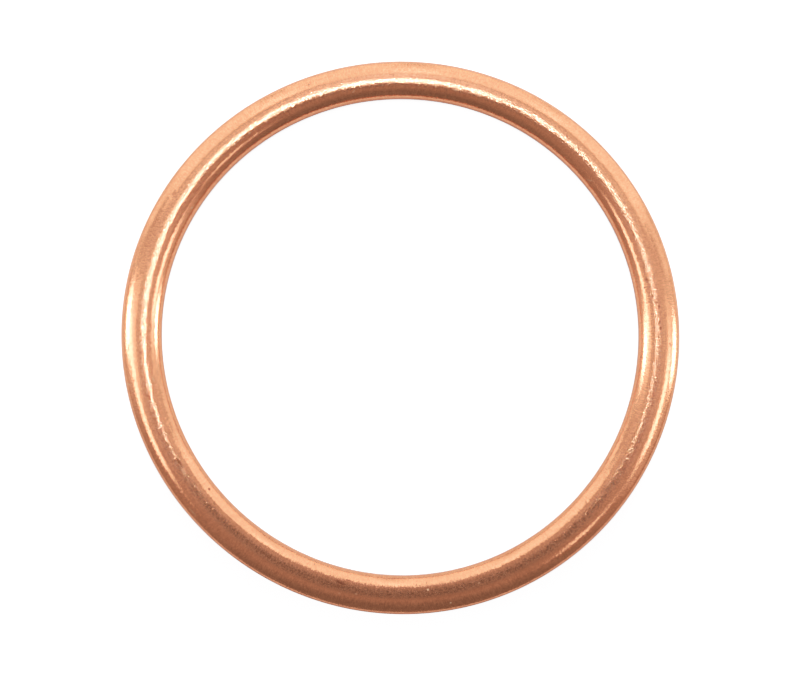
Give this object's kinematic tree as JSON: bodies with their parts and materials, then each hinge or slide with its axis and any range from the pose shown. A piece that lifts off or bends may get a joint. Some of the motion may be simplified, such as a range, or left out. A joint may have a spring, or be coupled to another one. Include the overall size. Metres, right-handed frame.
{
  "type": "copper crush washer",
  "caption": "Copper sealing ring folded from thin sheet, with a domed crown on top and a lapped seam underneath, that crushes between a plug and its port to seal them.",
  "frame": {"origin": "on the washer's axis, in the plane of the flange's underside, which it lies on", "axes": "+Z along the bore's axis, from the seam side up to the domed crown; X and Y are any two radial directions"},
  "size_m": [0.049, 0.049, 0.0023],
  "materials": {
    "copper": "satin"
  },
  "bodies": {
    "root": {"crush_washer": "copper"}
  },
  "joints": []
}
